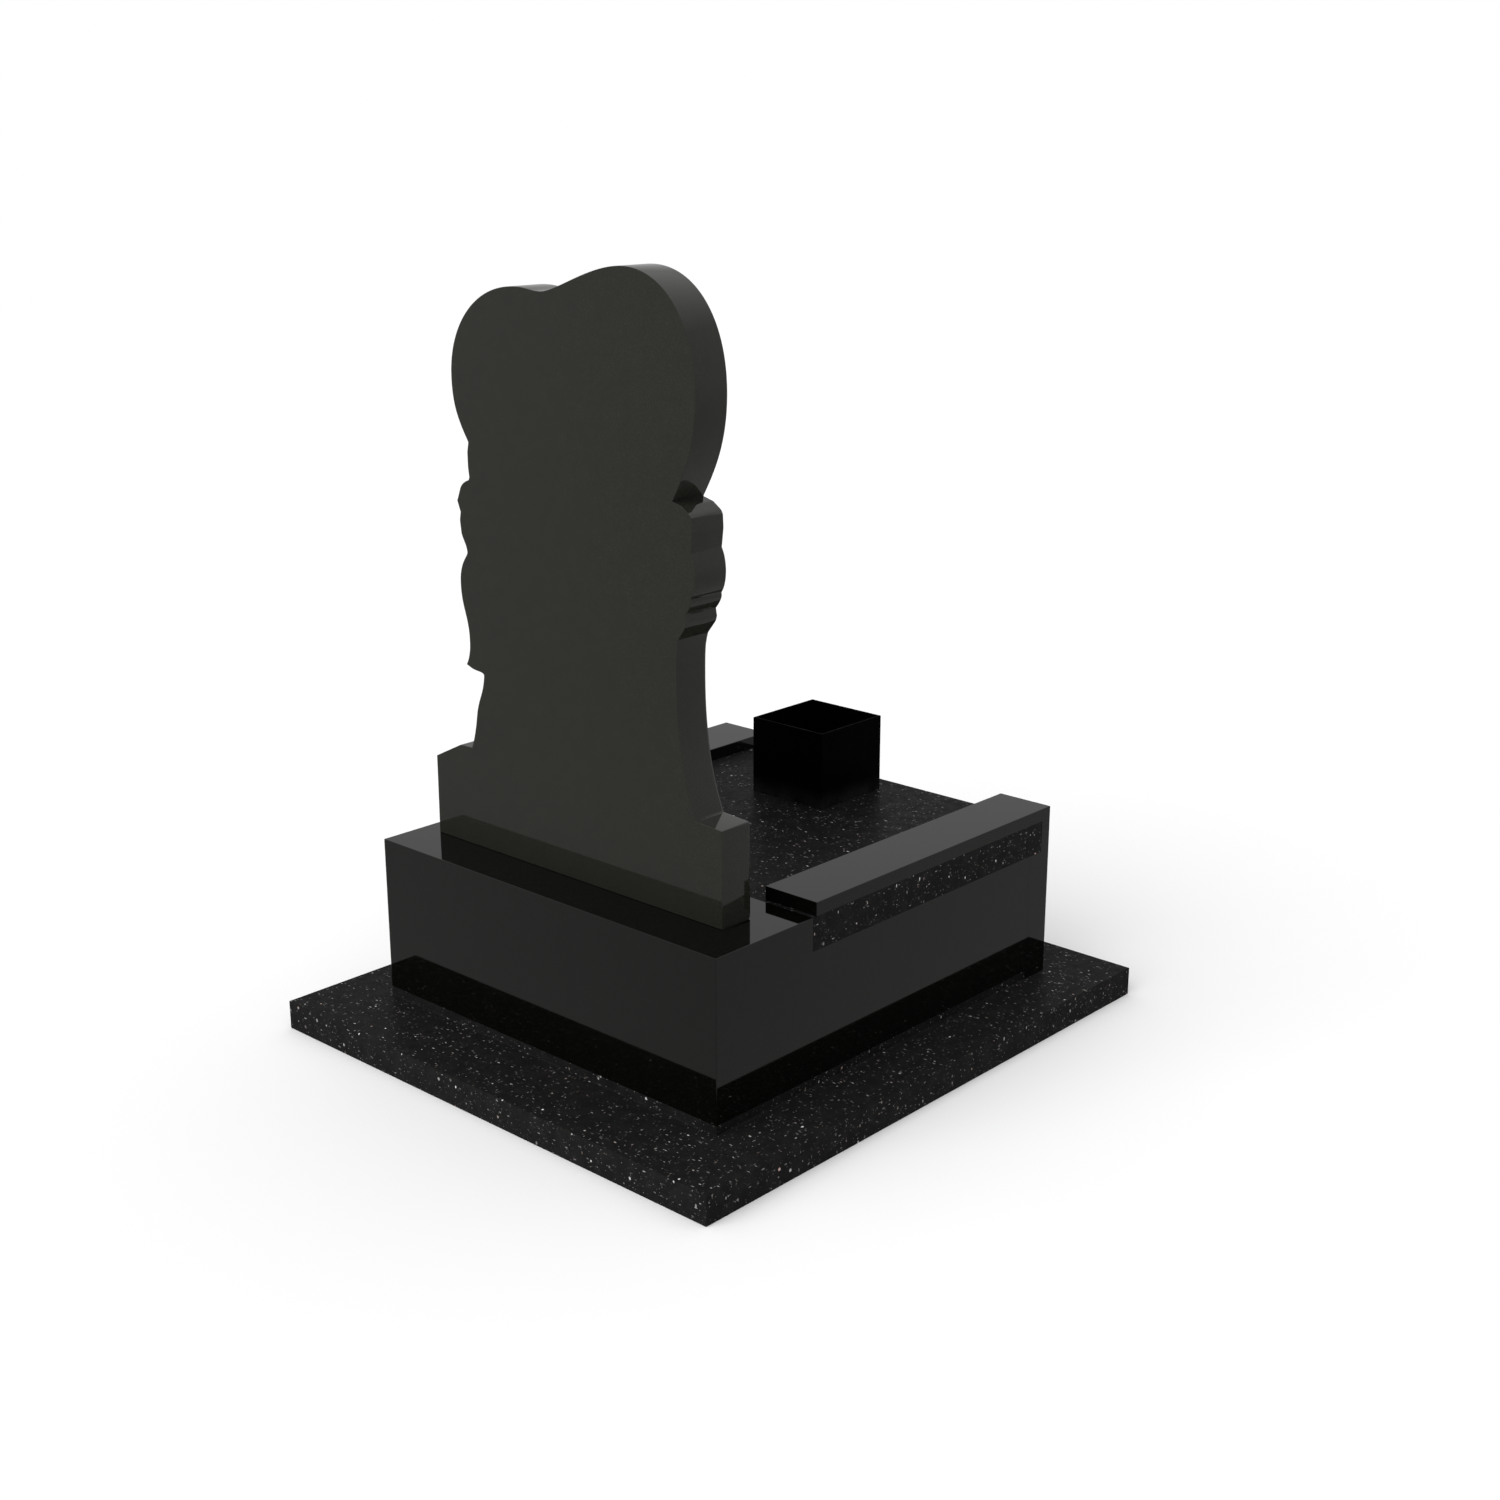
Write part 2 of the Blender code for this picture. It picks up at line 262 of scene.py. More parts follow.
def leaf_height(Q, stem, tip, half, bend, top=5.4, veins=7):
    t, s, L = leaf_frame(Q, stem, tip, bend)
    tt = np.clip(t, 1e-4, 1 - 1e-4)
    w = leaf_width(tt, half)
    u = np.abs(s) / np.maximum(w, 0.05)
    m = (t > 0) & (t < 1) & (u < 1)
    # two cupped halves that meet in a deep midrib groove, veins run outwards to the tip
    half_shape = np.sin(math.pi * np.clip(0.10 + 0.84 * u, 0, 1)) ** 0.8
    vein = np.mod((tt - 0.11 * u) * veins, 1.0)
    cut = np.exp(-((vein - 0.5) / 0.11) ** 2) * smooth(u / 0.15) * (1 - smooth((u - 0.80) / 0.2))
    h = top * (0.34 + 0.66 * half_shape) - 1.1 * cut
    h = h - 1.5 * np.exp(-(s / 0.9) ** 2)
    fade = 0.60 + 0.40 * np.sin(math.pi * np.clip(0.12 + 0.85 * tt, 0, 1))
    return np.where(m, np.maximum(h * fade, 0.7), 0.0)


ROSES = ((193.0, 531.0, 31.0, 0.2), (-195.0, 519.0, 34.0, 0.9))
LEAVES = (
    ((192.0, 494.0), (212.0, 336.0), 16.0, -8.0),
    ((186.0, 420.0), (221.0, 298.0), 9.0, -6.0),
    ((-192.0, 480.0), (-219.0, 421.0), 11.0, 4.0),
    ((-176.0, 476.0), (-150.0, 380.0), 15.0, -8.0),
    ((170.0, 500.0), (120.0, 425.0), 14.0, 7.0),
)


def carve(Q):
    """Height of the carving above the front plane (mm), a mask of the matt, chiselled parts and a level that sets their
    painted recess shade.
    """
    h = np.zeros(len(Q))
    heart = heart_field(HEART_MARGIN, 3)
    d = seg_distance(Q, heart)
    ins = inside(Q, heart)
    rise = 4.0
    field = np.where(ins, rise * smooth(d / 2.4), 0.0)
    # a fine groove runs round inside the heart's edge
    groove = np.exp(-((d - 13.0) / 1.15) ** 2)
    field = np.where(ins, field - 1.1 * groove, field)
    h = np.maximum(h, field)
    mask = np.where(ins, np.maximum(groove, 1 - smooth((d - 2.1) / 0.5)), 0.0)
    organic = np.zeros(len(Q))
    for stem, tip, half, bend in LEAVES:
        organic = np.maximum(organic, leaf_height(Q, stem, tip, half, bend))
    for cx, cz, r, turn in ROSES:
        near = np.hypot(Q[:, 0] - cx, Q[:, 1] - cz) < r
        rose = rose_height(Q, cx, cz, r, turn)
        organic = np.where(near & (rose > 0), rose, organic)
    # the flowers and leaves are left matt by the chisel; their grey is painted darker where the carving is low and
    # lighter on its high points, as painted shade in the recesses
    mask = np.where(organic > 0.3, 1.0, mask)
    recess_shade_level = np.where(organic > 0.3, organic / CARVE_MAX, 0.75)
    # where the carving crosses the heart it stands on it
    h = np.where(organic > 0.3, np.maximum(organic, field + 0.5), h)
    return np.minimum(h, CARVE_MAX), mask, recess_shade_level


# ---------------------------------------------------------------- headstone mesh
def build_headstone():
    fine, corners = resample(stone_outline(2), 3.2)
    n = len(fine)
    nxt, prv = np.roll(fine, -1, 0), np.roll(fine, 1, 0)
    t = nxt - prv
    t /= np.linalg.norm(t, axis=1)[:, None]
    nin = np.stack((t[:, 1], -t[:, 0]), 1)          # outline runs clockwise, so this points in
    probe = fine + nin * 0.5
    if inside(probe, fine).mean() < 0.5:
        nin = -nin
    pts = [fine]
    # rings of the rounded arris
    for deg in (14, 28, 42, 56, 70, 84):
        a = math.radians(deg)
        d = arris_radius(fine[:, 1]) * (1 - math.cos(a))
        ring = fine + nin * d[:, None]
        real = seg_distance(ring, fine)
        ok = (real > 0.93 * d) & inside(ring, fine)
        pts.append(ring[ok])
    outer = len(fine)
    lo, hi = fine.min(0), fine.max(0)

    def lattice(x0, x1, z0, z1, s):
        gx, gz = np.arange(x0, x1, s), np.arange(z0, z1, s * 0.866)
        G = np.array([(x + (s / 2 if j % 2 else 0), z) for j, z in enumerate(gz) for x in gx])
        return G

    # coarse lattice for the flats, fine ones for the roses, the leaves and the heart's edge
    coarse = lattice(lo[0], hi[0], lo[1], hi[1], 16.0)
    heart = heart_field(HEART_MARGIN, 3)
    hp, _ = resample(heart, 3.0)
    ht = np.roll(hp, -1, 0) - np.roll(hp, 1, 0)
    ht /= np.linalg.norm(ht, axis=1)[:, None]
    hn = np.stack((ht[:, 1], -ht[:, 0]), 1)
    if inside(hp + hn * 0.5, hp).mean() < 0.5:
        hn = -hn
    heart_pts = [hp - hn * 1.2]
    for d in (0.0, 0.5, 1.0, 1.5, 2.0, 2.5, 3.6, 9.5, 11.2, 11.9, 12.5, 13.0, 13.5, 14.1, 14.8, 16.5):
        ring = hp + hn * d
        ok = seg_distance(ring, hp) > 0.9 * d
        heart_pts.append(ring[ok])
    fine_pts = []

    def crisp(G, edge):
        """Keep a lattice clear of an outline's own points, which come first."""
        cells = {(int(p[0] // 1), int(p[1] // 1)) for p in edge}
        free = [p for p in G if (int(p[0] // 1), int(p[1] // 1)) not in cells]
        fine_pts.append(edge)
        loose.append(np.array(free))

    loose = []
    for cx, cz, r, _t in ROSES:
        G = lattice(cx - r - 3, cx + r + 3, cz - r - 3, cz + r + 3, 1.10)
        away = np.hypot(G[:, 0] - cx, G[:, 1] - cz)
        G = G[(away < r + 2.5) & (away > 0.29 * r)]
        C = lattice(cx - 0.3 * r, cx + 0.3 * r, cz - 0.3 * r, cz + 0.3 * r, 0.62)
        C = C[np.hypot(C[:, 0] - cx, C[:, 1] - cz) < 0.29 * r]
        ph = np.linspace(-math.pi, math.pi, int(2 * math.pi * r / 0.9), endpoint=False)
        reach = rose_rim(ph, _t) * r
        edge = [np.stack((cx + (reach + o) * np.cos(ph), cz + (reach + o) * np.sin(ph)), 1) for o in (-0.3, 0.3)]
        crisp(np.vstack((G, C)), np.vstack(edge))
    for stem, tip, half, bend in LEAVES:
        pad = half + abs(bend) + 4
        x0, x1 = min(stem[0], tip[0]) - pad, max(stem[0], tip[0]) + pad
        z0, z1 = min(stem[1], tip[1]) - 4, max(stem[1], tip[1]) + 4
        G = lattice(x0, x1, z0, z1, 1.35)
        tt, ss, L = leaf_frame(G, stem, tip, bend)
        w = leaf_width(tt, half)
        G = G[(tt > -0.02) & (tt < 1.02) & (np.abs(ss) < w + 2.6)]
        d0 = np.array(tip, float) - np.array(stem, float)
        e = d0 / L
        nn = np.array((-e[1], e[0]))
        tk = np.linspace(0.004, 0.996, max(24, int(L / 1.1)))
        edge = []
        for side in (-1, 1):
            for off in (-0.3, 0.3):
                across = side * np.maximum(leaf_width(tk, half) + off, 0.05) + bend * np.sin(math.pi * tk)
                edge.append(np.array(stem, float) + np.outer(tk * L, e) + np.outer(across, nn))
        crisp(G, np.vstack(edge))

    def thin(P, s):
        """Drop points that share a cell of size s with an earlier one."""
        seen, keep = set(), []
        for p in P:
            k = (round(p[0] / s), round(p[1] / s))
            if k not in seen:
                seen.add(k)
                keep.append(p)
        return np.array(keep)

    # outline points are kept as they are; the lattices between them are thinned where they overlap
    outlines = thin(np.vstack(fine_pts), 0.28)
    body = np.vstack((outlines, thin(np.vstack(loose), 0.55)))
    hpts = np.vstack(heart_pts)
    # keep the heart's rings out of the carved parts
    near = np.zeros(len(hpts), bool)
    grid = {(int(p[0] // 3), int(p[1] // 3)) for p in body}
    for i, p in enumerate(hpts):
        near[i] = (int(p[0] // 3), int(p[1] // 3)) in grid
    hpts = hpts[~near]
    hgrid = {(int(p[0] // 8), int(p[1] // 8)) for p in np.vstack((hpts, body))}
    coarse = np.array([p for p in coarse if (int(p[0] // 8), int(p[1] // 8)) not in hgrid])
    inner = np.vstack((body, hpts, coarse))
    ok = inside(inner, fine)
    inner = inner[ok]
    inner = inner[seg_distance(inner, fine) > arris_radius(inner[:, 1]) * 1.03 + 0.3]
    rings = np.vstack(pts[1:])
    # in the roses and leaves near the arris the lattice is replaced by the rings
    allp = np.vstack((fine, rings, inner))
    verts = [Vector((float(p[0]), float(p[1]))) for p in allp]
    edges = [(i, (i + 1) % outer) for i in range(outer)]
    co, ed, fa, ov, oe, of = delaunay_2d_cdt(verts, edges, [list(range(outer))], 1, 1e-4)
    P = np.array([(v.x, v.y) for v in co])
    dist = seg_distance(P, fine)
    h, mask, recess_shade_level = carve(P)
    # rounded arris: the front falls away towards the outline
    r = arris_radius(P[:, 1])
    fall = np.where(dist < r, r - np.sqrt(np.clip(r * r - (r - dist) ** 2, 0, None)), 0.0)
    blend = smooth(dist / (r * 1.15 + 2.0))
    h = h * blend
    mask = mask * smooth((dist - 2.0) / 4.0)
    y = STONE_FRONT - (h - fall) * 0.001
    bm = bmesh.new()
    lay = bm.verts.layers.float.new("carved")
    # the carving's height, which the material turns into painted shade: darker grey in the low recesses, lighter on the
    # high points
    lay2 = bm.verts.layers.float.new("height")
    front = []
    for (px, pz), yy, mm, hh in zip(P, y, mask, recess_shade_level):
        v = bm.verts.new((px * 0.001, yy, STONE_FOOT + pz * 0.001))
        v[lay] = float(mm)
        v[lay2] = float(hh)
        front.append(v)
    bm.verts.ensure_lookup_table()
    for f in fa:
        if len(set(f)) == 3:
            try:
                bm.faces.new([front[i] for i in f])
            except ValueError:
                pass
    # side walls and back
    lookup = {}
    for i, src in enumerate(ov):
        for s in src:
            lookup[s] = i
    ring0 = [front[lookup[i]] for i in range(outer)]
    b = BACK_ARRIS * 0.001
    ring1 = [bm.verts.new((v.co.x, STONE_BACK - b, v.co.z)) for v in ring0]
    ring2 = []
    for k, v in enumerate(ring0):
        ring2.append(bm.verts.new((v.co.x + nin[k][0] * b, STONE_BACK, v.co.z + nin[k][1] * b)))
    side_faces = []
    for A, B in ((ring0, ring1), (ring1, ring2)):
        for k in range(outer):
            j = (k + 1) % outer
            side_faces.append(bm.faces.new((A[k], A[j], B[j], B[k])))
    back = bm.faces.new(ring2)
    bmesh.ops.recalc_face_normals(bm, faces=bm.faces)
    walls = set(side_faces)
    for e in bm.edges:
        if len(e.link_faces) == 2:
            a = e.calc_face_angle(0.0)
            both = sum(f in walls for f in e.link_faces)
            e.smooth = not (a > math.radians(17 if both == 2 else 30 if back in e.link_faces else 50))
    bmesh.ops.triangulate(bm, faces=[back])
    me = bpy.data.meshes.new("headstone_carved")
    bm.to_mesh(me)
    bm.free()
    ob = bpy.data.objects.new("headstone_carved", me)
    bpy.context.scene.collection.objects.link(ob)
    me.shade_smooth()
    return ob


# ---------------------------------------------------------------- squared stones with eased arrises
def squared(name, xs, ys, zs, filled, ease=0.0011, segments=2, tight=()):
    """Solid made of the filled cells of a grid of planes, its arrises rounded by ease.
    tight lists (axis, position) planes that meet a neighbour: their arrises stay sharp."""
    bm = bmesh.new()
    cache = {}

    def vert(i, j, k):
        if (i, j, k) not in cache:
            cache[(i, j, k)] = bm.verts.new((xs[i], ys[j], zs[k]))
        return cache[(i, j, k)]

    nx, ny, nz = len(xs) - 1, len(ys) - 1, len(zs) - 1

    def solid(i, j, k):
        return 0 <= i < nx and 0 <= j < ny and 0 <= k < nz and filled(i, j, k)

    for i in range(nx):
        for j in range(ny):
            for k in range(nz):
                if not solid(i, j, k):
                    continue
                if not solid(i - 1, j, k):
                    bm.faces.new([vert(i, j, k), vert(i, j, k + 1), vert(i, j + 1, k + 1), vert(i, j + 1, k)])
                if not solid(i + 1, j, k):
                    bm.faces.new([vert(i + 1, j, k), vert(i + 1, j + 1, k), vert(i + 1, j + 1, k + 1), vert(i + 1, j, k + 1)])
                if not solid(i, j - 1, k):
                    bm.faces.new([vert(i, j, k), vert(i + 1, j, k), vert(i + 1, j, k + 1), vert(i, j, k + 1)])
                if not solid(i, j + 1, k):
                    bm.faces.new([vert(i, j + 1, k), vert(i, j + 1, k + 1), vert(i + 1, j + 1, k + 1), vert(i + 1, j + 1, k)])
                if not solid(i, j, k - 1):
                    bm.faces.new([vert(i, j, k), vert(i, j + 1, k), vert(i + 1, j + 1, k), vert(i + 1, j, k)])
                if not solid(i, j, k + 1):
                    bm.faces.new([vert(i, j, k + 1), vert(i + 1, j, k + 1), vert(i + 1, j + 1, k + 1), vert(i, j + 1, k + 1)])
    bmesh.ops.recalc_face_normals(bm, faces=bm.faces)
    bmesh.ops.dissolve_limit(bm, angle_limit=math.radians(1), verts=bm.verts, edges=bm.edges)
    def at_joint(e):
        return any(all(abs(v.co[a] - pos) < 1e-5 for v in e.verts) for a, pos in tight)

    sharp = [e for e in bm.edges if len(e.link_faces) == 2 and e.calc_face_angle(0.0) > 0.5 and not at_joint(e)]
    bmesh.ops.bevel(bm, geom=sharp, offset=ease, offset_type='OFFSET', segments=segments, profile=0.5,
                    affect='EDGES', clamp_overlap=True, miter_outer='ARC')
    me = bpy.data.meshes.new(name)
    bm.to_mesh(me)
    bm.free()
    me.shade_smooth()
    me.set_sharp_from_angle(angle=math.radians(60))
    ob = bpy.data.objects.new(name, me)
    bpy.context.scene.collection.objects.link(ob)
    w = ob.modifiers.new("even_normals", 'WEIGHTED_NORMAL')
    w.mode = 'FACE_AREA'
    w.weight = 100
    w.keep_sharp = True
    return ob


def planes(node):
    lo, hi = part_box(node)
    return (lo.x, hi.x), (lo.y, hi.y), (lo.z, hi.z)


def build_foundation():
    (x0, x1), (y0, y1), (z0, z1) = planes("foundation_slab")
    plo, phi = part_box("plinth_body")
    return squared("foundation_granite", [x0, plo.x, phi.x, x1], [y0, plo.y, phi.y, y1], [z0, SLAB_T, z1],
                   lambda i, j, k: k == 0 or (i == 1 and j == 1), ease=0.0013, tight=((2, z1),))


def build_plinth():
    (x0, x1), (y0, y1), (z0, z1) = planes("plinth_body")
    return squared("plinth_polished", [x0, x0 + WALL_T, x1 - WALL_T, x1], [y0, BEAM_FRONT, y1], [z0, COVER_SEAT, z1],
                   lambda i, j, k: j == 1 or (k == 0 and i != 1), ease=0.0009,
                   tight=((1, y0), (2, z0), (2, COVER_SEAT), (1, BEAM_FRONT)))


def build_panel():
    (x0, x1), (y0, y1), (z0, z1) = planes("front_panel")
    return squared("panel_polished", [x0, x1], [y0, y0 + LIP_T - GAP, y1], [z0, COVER_SEAT, z1],
                   lambda i, j, k: k == 0 or j == 0, ease=0.0009,
                   tight=((1, y1), (2, z0), (2, z1), (2, COVER_SEAT)))


def build_cover():
    x, y, z = planes("cover_slab")
    return squared("cover_granite", x, y, z, lambda i, j, k: True, ease=0.0008,
                   tight=((1, y[1]), (2, z[0]), (2, z[1])))


def build_kerb(side):
    (x0, x1), (y0, y1), (z0, z1) = planes("kerb_" + side)
    return squared("kerb_" + side + "_polished", [x0, x1], [y0, y0 + LIP_T - GAP, y1], [z0, PLINTH_TOP + GAP, z1],
                   lambda i, j, k: k == 1 or j == 0, ease=0.0010,
                   tight=((2, z0), (2, PLINTH_TOP + GAP), (1, y0 + LIP_T - GAP)))


def build_flower_box():
    (x0, x1), (y0, y1), (z0, z1) = planes("flower_box")
    w = BOX_WALL
    return squared("flower_box_black", [x0, x0 + w, x1 - w, x1], [y0, y0 + w, y1 - w, y1], [z0, z0 + w, z1],
                   lambda i, j, k: k == 0 or i != 1 or j != 1, ease=0.0009, tight=((2, z0),))


SLAB_T = 0.046
WALL_T = 0.096
BEAM_FRONT = 0.1770
COVER_SEAT = PLINTH_TOP - 0.0502 - GAP
LIP_T = 0.0215
BOX_WALL = 0.004


# ---------------------------------------------------------------- materials
class Nodes:
    """Small helper round a material's node tree."""

    def __init__(self, name):
        self.mat = bpy.data.materials.new(name)
        self.mat.use_nodes = True
        self.tree = self.mat.node_tree
        self.bsdf = self.tree.nodes["Principled BSDF"]
        self.coord = self.tree.nodes.new("ShaderNodeTexCoord").outputs["Object"]

    def add(self, kind, **props):
        n = self.tree.nodes.new(kind)
        for k, v in props.items():
            setattr(n, k, v)
        return n

    def link(self, a, b):
        self.tree.links.new(a, b)

    def math(self, op, a, b=None, c=None, clamp=False):
        n = self.add("ShaderNodeMath", operation=op, use_clamp=clamp)
        for i, v in enumerate((a, b, c)):
            if v is None:
                continue
            if isinstance(v, (int, float)):
                n.inputs[i].default_value = v
            else:
                self.link(v, n.inputs[i])
        return n.outputs[0]

    def ramp(self, value, lo, hi, a=0.0, b=1.0):
        n = self.add("ShaderNodeMapRange", interpolation_type='SMOOTHSTEP')
        for key, v in (("Value", value), ("From Min", lo), ("From Max", hi), ("To Min", a), ("To Max", b)):
            if isinstance(v, (int, float)):
                n.inputs[key].default_value = v
            else:
                self.link(v, n.inputs[key])
        return n.outputs["Result"]

    def noise(self, scale, detail=2.0, rough=0.5, vector=None, offset=0.0):
        n = self.add("ShaderNodeTexNoise")
        v = vector if vector is not None else self.coord
        if offset:
            v = self.shift(v, offset)
        self.link(v, n.inputs["Vector"])
        n.inputs["Scale"].default_value = scale
        n.inputs["Detail"].default_value = detail
        n.inputs["Roughness"].default_value = rough
        return n

    def shift(self, v, by, stretch=(1, 1, 1), turn=(0, 0, 0)):
        m = self.add("ShaderNodeMapping")
        self.link(v, m.inputs["Vector"])
        m.inputs["Location"].default_value = (by, by * 0.7, by * 1.3)
        m.inputs["Rotation"].default_value = turn
        m.inputs["Scale"].default_value = stretch
        return m.outputs["Vector"]

    def mix(self, fac, a, b, blend='MIX'):
        n = self.add("ShaderNodeMix", data_type='RGBA', blend_type=blend)
        for sock, v in ((n.inputs["Factor"], fac), (n.inputs[6], a), (n.inputs[7], b)):
            if isinstance(v, (int, float)):
                sock.default_value = v
            elif isinstance(v, tuple):
                sock.default_value = (*v, 1.0) if len(v) == 3 else v
            else:
                self.link(v, sock)
        return n.outputs[2]

    def bump(self, height, strength, distance):
        n = self.add("ShaderNodeBump")
        n.inputs["Strength"].default_value = strength
        n.inputs["Distance"].default_value = distance
        self.link(height, n.inputs["Height"])
        self.link(n.outputs["Normal"], self.bsdf.inputs["Normal"])
        return n


def polished(name, tone=0.0015, tint=(1.0, 1.0, 0.98), ior=1.42, rough=0.035, carved=False, cast=(1.0, 1.0, 0.80)):
    """Black granite polished to a mirror: faint crystals in the depth, fine wear in the gloss."""
    s = Nodes(name)
    crystals = s.add("ShaderNodeTexVoronoi", feature='F1')
    s.link(s.coord, crystals.inputs["Vector"])
    crystals.inputs["Scale"].default_value = 620.0
    sep = s.add("ShaderNodeSeparateColor")
    s.link(crystals.outputs["Color"], sep.inputs["Color"])
    bright = s.math('POWER', sep.outputs["Red"], 3.0)
    cloud = s.noise(38.0, 3.0, 0.55).outputs["Fac"]
    amount = s.math('ADD', s.math('MULTIPLY', bright, 0.55), s.math('MULTIPLY', cloud, 0.45), clamp=True)
    lo, hi = (0.55, 2.1) if tone < 0.005 else (0.80, 1.35)
    colour = s.mix(amount, tuple(tone * lo * c for c in cast), tuple(tone * hi * c for c in cast))
    haze = s.noise(9.0, 4.0, 0.6, offset=3.0).outputs["Fac"]
    fine = s.noise(900.0, 2.0, 0.6).outputs["Fac"]
    gloss = s.math('ADD', s.ramp(haze, 0.35, 0.75, rough * 0.8, rough * 1.35), s.math('MULTIPLY', fine, rough * 0.25))
    if carved:
        att = s.add("ShaderNodeAttribute", attribute_type='GEOMETRY', attribute_name="carved")
        m = s.ramp(att.outputs["Fac"], 0.35, 0.65)
        peck = s.noise(1500.0, 3.0, 0.7).outputs["Fac"]
        # painted shade: the chiselled grey runs from near black in the low recesses to light grey on the high points,
        # partly the frosted stone's own grey and partly painted shade
        high = s.add("ShaderNodeAttribute", attribute_type='GEOMETRY', attribute_name="height")
        recess_shade_fac = s.ramp(high.outputs["Fac"], 0.18, 0.95)
        carved_grey_and_recess_shade = s.mix(recess_shade_fac, (0.030, 0.030, 0.029), (0.270, 0.271, 0.262))
        matt = s.mix(s.ramp(peck, 0.35, 0.7, 0.0, 0.55), carved_grey_and_recess_shade, (0.120, 0.120, 0.116))
        colour = s.mix(m, colour, matt)
        gloss = s.math('ADD', s.math('MULTIPLY', gloss, s.math('SUBTRACT', 1.0, m)), s.math('MULTIPLY', m, 0.58))
        rough_height = s.math('MULTIPLY', peck, m)
        s.bump(s.math('ADD', rough_height, s.math('MULTIPLY', fine, 0.02)), 0.25, 0.0006)
    else:
        s.bump(fine, 0.010, 0.0003)
    s.link(colour, s.bsdf.inputs["Base Color"])
    s.link(gloss, s.bsdf.inputs["Roughness"])
    s.bsdf.inputs["IOR"].default_value = ior
    s.bsdf.inputs["Specular Tint"].default_value = (*tint, 1.0)
    return s.mat


def speckled(name, turn=0.0, light=1.0):
    """Dark granite full of small pale, grey and rusty flecks, with little gloss."""
    s = Nodes(name)
    wob = s.noise(260.0, 2.0, 0.5)
    wv = s.add("ShaderNodeVectorMath", operation='MULTIPLY_ADD')
    s.link(wob.outputs["Color"], wv.inputs[0])
    wv.inputs[1].default_value = (0.0022, 0.0022, 0.0022)
    s.link(s.coord, wv.inputs[2])
    base_v = wv.outputs[0]

    def flecks(scale, stretch, ang, offset, r_lo, r_hi, power, soft=0.07):
        v = s.shift(base_v, offset, stretch, (ang, ang * 0.6 + turn, ang * 1.7 + turn))
        vo = s.add("ShaderNodeTexVoronoi", feature='F1')
        s.link(v, vo.inputs["Vector"])
        vo.inputs["Scale"].default_value = scale
        sp = s.add("ShaderNodeSeparateColor")
        s.link(vo.outputs["Color"], sp.inputs["Color"])
        radius = s.ramp(sp.outputs["Red"], 0.0, 1.0, r_lo, r_hi)
        inner = s.math('SUBTRACT', radius, soft)
        mask = s.ramp(vo.outputs["Distance"], inner, radius, 1.0, 0.0)
        value = s.math('POWER', sp.outputs["Green"], power)
        return s.math('MULTIPLY', mask, value), sp.outputs["Blue"]

    cloud = s.noise(42.0, 4.0, 0.62).outputs["Fac"]
    grit = s.noise(720.0, 3.0, 0.7).outputs["Fac"]
    colour = s.mix(s.ramp(cloud, 0.34, 0.70), (0.0084, 0.0082, 0.0082), (0.0128, 0.0124, 0.0122))
    colour = s.mix(s.ramp(grit, 0.45, 0.80, 0.0, 0.45), colour, (0.0215, 0.0209, 0.0207))
    layers = (
        (330.0, (1.0, 0.30, 1.0), 0.35, 1.7, 0.08, 0.31, 4.2, (0.235, 0.231, 0.229), (0.150, 0.118, 0.106)),
        (310.0, (0.30, 1.0, 0.9), 1.15, 5.3, 0.08, 0.31, 4.6, (0.260, 0.257, 0.256), (0.150, 0.136, 0.134)),
        (215.0, (0.45, 1.0, 0.4), 2.05, 9.1, 0.06, 0.27, 6.5, (0.56, 0.555, 0.545), (0.38, 0.33, 0.30)),
        (120.0, (1.0, 0.7, 0.6), 2.75, 13.7, 0.05, 0.22, 12.0, (0.80, 0.79, 0.77), (0.62, 0.44, 0.40)),
    )
    height = None
    for scale, stretch, ang, off, r0, r1, power, ca, cb in layers:
        m, other = flecks(scale, stretch, ang, off, r0, r1, power)
        fleck = s.mix(s.ramp(other, 0.55, 0.85), tuple(c * light for c in ca), tuple(c * light for c in cb))
        colour = s.mix(m, colour, fleck)
        height = m if height is None else s.math('MAXIMUM', height, m)
    rough = s.ramp(s.noise(60.0, 3.0, 0.6, offset=7.0).outputs["Fac"], 0.3, 0.75, 0.34, 0.50)
    rough = s.math('SUBTRACT', rough, s.math('MULTIPLY', height, 0.16))
    s.bump(s.math('ADD', s.math('MULTIPLY', grit, 0.6), s.math('MULTIPLY', height, -0.5)), 0.10, 0.0004)
    s.link(colour, s.bsdf.inputs["Base Color"])
    s.link(rough, s.bsdf.inputs["Roughness"])
    s.bsdf.inputs["IOR"].default_value = 1.08
    return s.mat


def coated(name):
    """Deep black matt coating on sheet, with a fine grain, handling marks and a lighter band along its foot."""
    s = Nodes(name)
    grain = s.noise(1400.0, 2.0, 0.6).outputs["Fac"]
    marks = s.noise(28.0, 5.0, 0.68, offset=5.0).outputs["Fac"]
    colour = s.mix(s.ramp(grain, 0.35, 0.70), (0.0004, 0.0004, 0.0004), (0.0012, 0.0012, 0.0012))
    colour = s.mix(s.ramp(marks, 0.56, 0.74, 0.0, 0.5), colour, (0.0026, 0.0026, 0.0025))
    axes = s.add("ShaderNodeSeparateXYZ")
    s.link(s.coord, axes.inputs[0])
    # the lowest 34 mm are mixed, in patches, towards a lighter grey
    foot = s.math('MULTIPLY', s.ramp(axes.outputs["Z"], PLINTH_TOP, PLINTH_TOP + 0.034, 1.0, 0.0), s.ramp(marks, 0.30, 0.62, 0.35, 1.0))
    colour = s.mix(foot, colour, (0.0130, 0.0130, 0.0126))
    s.bump(grain, 0.12, 0.0003)
    s.link(colour, s.bsdf.inputs["Base Color"])
    s.link(s.ramp(marks, 0.3, 0.7, 0.42, 0.62), s.bsdf.inputs["Roughness"])
    s.bsdf.inputs["IOR"].default_value = 1.06
    return s.mat


# ---------------------------------------------------------------- pieces
def put(ob, node, mat):
    ob.data.materials.clear()
    ob.data.materials.append(mat)
    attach(ob, "root")
    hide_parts(node)
    return ob


